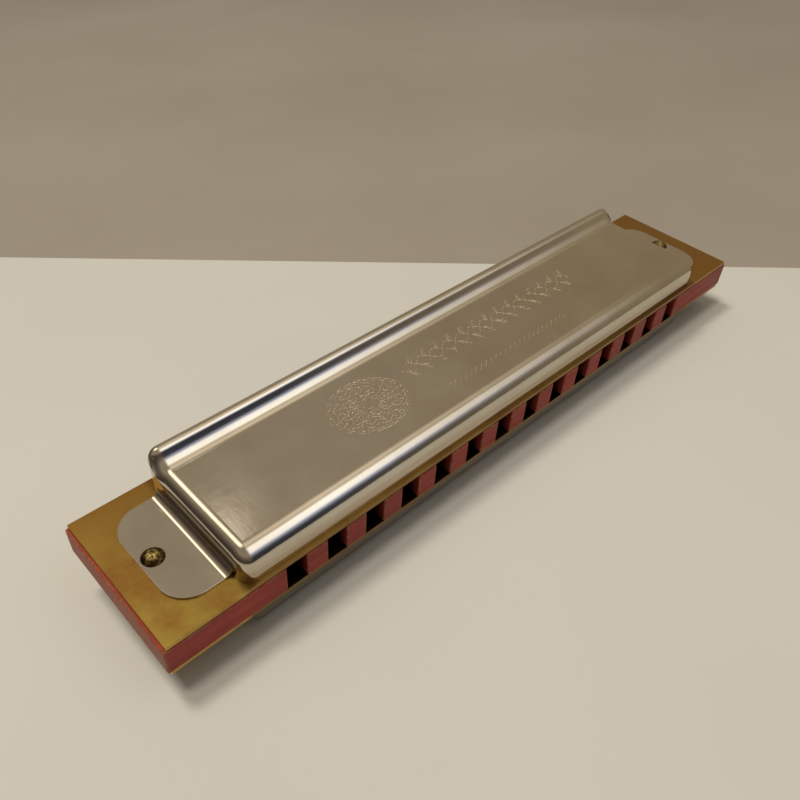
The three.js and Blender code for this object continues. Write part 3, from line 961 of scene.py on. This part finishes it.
def oval(x, y, half_x, half_y, petals=0, depth=0.0, steps=96):
    line = []
    for step in range(steps + 1):
        angle = 2 * math.pi * step / steps
        swell = 1 + depth * math.cos(petals * angle)
        line.append((x + half_x * swell * math.cos(angle), y + half_y * swell * math.sin(angle)))
    return line


rosette = []
for share, petals, depth in (
    (1.0, 0, 0.0), (0.93, 24, 0.035), (0.80, 12, 0.06), (0.66, 12, 0.10),
    (0.52, 8, 0.10), (0.40, 8, 0.14), (0.26, 6, 0.12), (0.14, 0, 0.0),
):
    half_x = ROSETTE_HALF_X * share
    half_y = ROSETTE_HALF_Y * share
    rosette.append(oval(ROSETTE_X, ROSETTE_Y, half_x, half_y, petals, depth))
for spoke in range(SPOKES):
    angle = 2 * math.pi * (spoke + 0.5) / SPOKES
    line = []
    for share in (0.30, 0.45, 0.62, 0.78, 0.90):
        bent = angle + 0.25 * (share - 0.3)
        x = ROSETTE_X + ROSETTE_HALF_X * share * math.cos(bent)
        y = ROSETTE_Y + ROSETTE_HALF_Y * share * math.sin(bent)
        line.append((x, y))
    rosette.append(line)

leaf_band = []
for phase in (0.0, math.pi):
    line = []
    for step in range(WAVE_STEPS + 1):
        x = BAND_START + BAND_LENGTH * step / WAVE_STEPS
        turn = 2 * math.pi * (x - BAND_START) / WAVE_LENGTH + phase
        line.append((x, BAND_Y + WAVE_HEIGHT * math.sin(turn)))
    leaf_band.append(line)
for leaf in range(LEAVES):
    x = BAND_START + 1.0 + 2.0 * leaf
    tilt = 1 if leaf % 2 else -1
    for rib in (-0.35, 0.0, 0.35):
        foot = (x + rib, BAND_Y + tilt * 0.9)
        point = (x + rib + 0.9, BAND_Y + tilt * (3.0 - abs(rib)))
        leaf_band.append([foot, point])

bead_line = []
for bead in range(BEADS):
    x = bead * BEAD_PITCH
    sway = BEAD_SWAY * (-1) ** bead
    bead_line.append([(x - 13.0, -7.3 + sway), (x - 12.55, -7.0 + sway)])

cut_shape = bmesh.new()
cut_top = cut_shape.verts.new((0.0, 0.0, CUT_LIFT))
cut_ring = []
for x, y in ((-0.34, 0.0), (-0.14, -0.075), (0.18, -0.07), (0.38, 0.0), (0.18, 0.07), (-0.14, 0.075)):
    cut_ring.append(cut_shape.verts.new((x * MM, y * MM, -0.01 * MM)))
for k in range(6):
    cut_shape.faces.new((cut_ring[k], cut_ring[(k + 1) % 6], cut_top))
cut_shape.faces.new(cut_ring[::-1])
bmesh.ops.recalc_face_normals(cut_shape, faces=cut_shape.faces)
cut_mesh = bpy.data.meshes.new("graver cut")
cut_shape.to_mesh(cut_mesh)
cut_shape.free()
graver_cut = bpy.data.objects.new("graver cut", cut_mesh)
bpy.context.scene.collection.objects.link(graver_cut)

bright_cut, tree, shader, place = finish_of("bright cut nickel")
shader.inputs["Metallic"].default_value = 1.0
glint = cloud(tree, place, 1800, 3)
colour = graded(tree, glint, [(0.35, (0.80, 0.66, 0.48)), (0.65, (1.0, 0.88, 0.70))])
tree.links.new(colour, shader.inputs["Base Color"])
tree.links.new(between(tree, glint, 0.3, 0.7, 0.30, 0.50), shader.inputs["Roughness"])

cutting = cutting_tree()
for name, lines, pitch, kept, seed in (
    ("engraved_rosette", rosette, 0.56, 0.82, 5),
    ("engraved_leaf_band", leaf_band, 0.56, 0.80, 8),
    ("engraved_bead_line", bead_line, 0.42, 0.92, 13),
):
    engraving = new_piece(name, drawing(name, lines))
    with_tree(engraving, cutting, cut=graver_cut, finish=bright_cut, pitch=pitch * MM,
              share_kept=kept, seed=seed)
    belongs(engraving, "covers")
bpy.data.objects.remove(graver_cut)


# ------------------------------------------------------------------------------ cover nails
# A larger round-headed brass nail goes through each cover's tab and the plate into the comb. The
# crown of the head is painted bright, partly rubbed brass and partly a painted highlight, and dark
# tarnish sits round its rim.

HEAD_SIDES = 32

cover_nail_profile = [
    (0.0, 0.95), (0.3, 0.945), (0.7, 0.89), (1.1, 0.78), (1.45, 0.63), (1.75, 0.44), (1.97, 0.24),
    (2.10, 0.08), (2.15, 0.0), (0.8, 0.0), (0.8, -2.9), (0.0, -3.9),
]
head_brass, tree, shader, place = finish_of("cover nail brass")
shader.inputs["Metallic"].default_value = 1.0
specks = cloud(tree, place, 1500, 4, 0.7)
rise = axis_of(tree, place, "Z")
above = reckoned(tree, "ABSOLUTE", reckoned(tree, "SUBTRACT", rise, mid_height))
# The top of the dome is painted bright: rubbed brass, and a painted highlight.
crown = between(tree, above, plate_face - mid_height + 1.12 * MM, plate_face - mid_height + 1.42 * MM)
crown = reckoned(tree, "MULTIPLY", crown, graded(tree, specks, [(0.42, 0.15), (0.60, 1.0)]))
rubbed_and_highlit = graded(tree, specks, [(0.4, (0.50, 0.34, 0.09)), (0.6, (0.95, 0.74, 0.30))])
tarnish = graded(tree, specks, [(0.45, (0.035, 0.022, 0.010)), (0.68, (0.30, 0.19, 0.05))])
tree.links.new(mixed(tree, crown, tarnish, rubbed_and_highlit), shader.inputs["Base Color"])
tree.links.new(between(tree, specks, 0.3, 0.7, 0.55, 0.28), shader.inputs["Roughness"])
relief(tree, shader, specks, 0.00009)

cover_nail = turned("cover nail", cover_nail_profile, HEAD_SIDES)
for side in ("upper", "lower"):
    names = [f"{side}_cover_nail_{number}" for number in (1, 2)]
    spots = nail_spots(names, plate_face + SHEET)
    if side == "lower":
        spots = [(-x, y, z) for x, y, z in spots]
    nails = set_out(f"{side}_cover_nails", spots, cover_nail, head_brass, seed=21)
    if side == "lower":
        turned_over(nails)
    belongs(nails, "cover_nails", *names)
bpy.data.objects.remove(cover_nail)


# ------------------------------------------------------------------------------ table
# A pale board on a grey-brown table top. The harmonica lies on the lower cover's rim and front
# edge, a few degrees off level, so the board leans to meet both. Its far edge runs behind.

RIM_REST = Vector((CREST_Y, 0.0))
FRONT_REST = Vector((COVER_FRONT + FRONT_RADIUS, RIM_HEIGHT - PANEL_HEIGHT))
BOARD_LEAN = (FRONT_REST.y - RIM_REST.y) / (FRONT_REST.x - RIM_REST.x)
BOARD_CLEARANCE = 0.03 * MM
BOARD_THICKNESS = 4 * MM
BOARD_REACH = 2.0
BOARD_WIDTH = 3.0
TABLE_DROP = 4.5 * MM
TABLE_THICKNESS = 16 * MM
TABLE_HALF = 4


def board_height(y):
    """Height of the board's face at a place crosswise of the comb."""
    return RIM_REST.y + BOARD_LEAN * (y - RIM_REST.x) - BOARD_CLEARANCE


def flat_stage(name, corners, drop, depth, material):
    slab = bmesh.new()
    top = [slab.verts.new((x, y, board_height(y) - drop)) for x, y in corners]
    bottom = [slab.verts.new((x, y, board_height(y) - drop - depth)) for x, y in corners]
    slab.faces.new(top)
    slab.faces.new(bottom[::-1])
    for k in range(len(corners)):
        after = (k + 1) % len(corners)
        slab.faces.new((top[k], bottom[k], bottom[after], top[after]))
    bmesh.ops.recalc_face_normals(slab, faces=slab.faces)
    mesh = bpy.data.meshes.new(name)
    slab.to_mesh(mesh)
    slab.free()
    new_piece(name, mesh, [material])


def stage_finish(name, light, dark, roughness):
    material, tree, shader, place = finish_of(name)
    tone = cloud(tree, place, 7, 3)
    fleck = cloud(tree, place, 900, 2)
    colour = graded(tree, tone, [(0.3, dark), (0.7, light)])
    tree.links.new(mixed(tree, graded(tree, fleck, [(0.3, 0.06), (0.6, 0.0)]), colour, dark),
                   shader.inputs["Base Color"])
    shader.inputs["Roughness"].default_value = roughness
    shader.inputs["Specular IOR Level"].default_value = 0.3
    return material


board_paint = stage_finish("board paint", (0.72, 0.71, 0.665), (0.68, 0.67, 0.62), 0.5)
table_paint = stage_finish("table paint", (0.40, 0.36, 0.31), (0.35, 0.31, 0.26), 0.6)
edge_start = Vector((-45.66, 161.37)) * MM
edge_end = Vector((124.69, -25.39)) * MM
edge_run = (edge_end - edge_start).normalized()
towards_viewer = Vector((edge_run.y, -edge_run.x))
if towards_viewer.dot(Vector((-1, -1))) < 0:
    towards_viewer = -towards_viewer
far_left = edge_start - edge_run * BOARD_REACH
far_right = edge_end + edge_run * BOARD_REACH
near_side = towards_viewer * BOARD_WIDTH
board_corners = [far_left, far_right, far_right + near_side, far_left + near_side]
flat_stage("pale_board", board_corners, 0.0, BOARD_THICKNESS, board_paint)
table_corners = [(x * TABLE_HALF, y * TABLE_HALF) for x, y in ((-1, -1), (1, -1), (1, 1), (-1, 1))]
flat_stage("table_top", table_corners, TABLE_DROP, TABLE_THICKNESS, table_paint)


# ------------------------------------------------------------------------------ light and camera
# A dim room for the metal to mirror, with a soft window glow, and a plain backdrop for the camera.
# Two soft lamps overhead light the scene unmirrored, and one small far lamp shows in the metal.
# Room light that is not mirrored counts half.

world = bpy.data.worlds.new("studio")
bpy.context.scene.world = world
world.use_nodes = True
tree = world.node_tree
sky = tree.nodes["Background"]
direction = tree.nodes.new("ShaderNodeTexCoord").outputs["Generated"]
swing = reckoned(tree, "ARCTAN2", axis_of(tree, direction, "Z"), axis_of(tree, direction, "Y"))
round_share = between(tree, swing, -math.pi, math.pi)


def turn_share(degrees):
    return (degrees + 180) / 360


def tone_at(degrees, red, green, blue):
    return (turn_share(degrees), (red, green, blue))


room = graded(tree, round_share, [
    tone_at(-178, 0.10, 0.09, 0.09), tone_at(-150, 0.42, 0.38, 0.30), tone_at(-30, 0.42, 0.38, 0.30),
    tone_at(0, 0.33, 0.28, 0.21), tone_at(60, 0.36, 0.30, 0.225), tone_at(72, 0.95, 0.82, 0.62),
    tone_at(82, 0.95, 0.82, 0.62), tone_at(91, 0.62, 0.55, 0.45), tone_at(102, 1.7, 1.62, 1.50),
    tone_at(126, 1.5, 1.5, 1.55), tone_at(136, 0.50, 0.56, 0.78), tone_at(150, 0.06, 0.065, 0.09),
    tone_at(172, 0.035, 0.032, 0.035),
])
along = axis_of(tree, direction, "X")
far_fade = between(tree, along, 0.42, 0.78)
room = mixed(tree, far_fade, room, (0.30, 0.238, 0.150))
near_fade = between(tree, along, 0.20, -0.05)
climb = axis_of(tree, direction, "Z")
near_room = graded(tree, climb, [
    (0.0, (0.055, 0.042, 0.036)), (0.25, (0.08, 0.062, 0.046)), (0.50, (0.17, 0.14, 0.105)),
    (0.72, (0.36, 0.30, 0.23)), (1.0, (0.32, 0.27, 0.21)),
])
room = mixed(tree, near_fade, room, near_room)
window_side = between(tree, along, -0.34, -0.22)
window_side = reckoned(tree, "MULTIPLY", window_side, between(tree, along, 0.09, -0.02))
window_rise = graded(tree, round_share, [
    (turn_share(36), 0.0), (turn_share(50), 1.0), (turn_share(68), 1.0), (turn_share(80), 0.0),
])
window = reckoned(tree, "MULTIPLY", window_side, window_rise)
room = mixed(tree, window, room, (2.1, 1.9, 1.55))
ray = tree.nodes.new("ShaderNodeLightPath")
backdrop = (0.62, 0.54, 0.43)
tree.links.new(mixed(tree, ray.outputs["Is Camera Ray"], room, backdrop), sky.inputs["Color"])
tree.links.new(between(tree, ray.outputs["Is Glossy Ray"], 0.0, 1.0, 0.50, 1.0), sky.inputs["Strength"])
world.cycles.sampling_method = "NONE"


def lamp(name, place, size, power, mirrored):
    light = bpy.data.lights.new(name, "AREA")
    light.shape = "DISK"
    light.size = size
    light.energy = power
    light.color = (1.0, 0.93, 0.81)
    fitting = bpy.data.objects.new(name, light)
    fitting.location = place
    fitting.rotation_euler = (-Vector(place)).to_track_quat("-Z", "Y").to_euler()
    fitting.visible_glossy = mirrored
    bpy.context.scene.collection.objects.link(fitting)


lamp("back_lamp", (-0.16, 0.38, 1.05), 0.24, 4.4, False)
lamp("side_lamp", (-0.34, 0.08, 1.10), 0.24, 3.6, False)
lamp("far_lamp", (0.285, 0.65, 0.96), 0.07, 0.014, True)

CAMERA_PLACE = Vector((-108.56, -84.735, 132.18)) * MM
CAMERA_RIGHT = Vector((0.723751, -0.688369, 0.048294))
CAMERA_UP = Vector((0.442837, 0.516992, 0.732540))
CAMERA_BACK = Vector((-0.529225, -0.508790, 0.679009))
view = bpy.data.cameras.new("camera")
view.sensor_width = 36.0
view.lens = 35.559
view.clip_start = 0.005
view.clip_end = 20.0
camera = bpy.data.objects.new("camera", view)
facing = Matrix((CAMERA_RIGHT, CAMERA_UP, CAMERA_BACK)).transposed().to_4x4()
camera.matrix_world = Matrix.Translation(CAMERA_PLACE) @ facing
bpy.context.scene.collection.objects.link(camera)
bpy.context.scene.camera = camera
bpy.context.scene.view_settings.view_transform = "Standard"
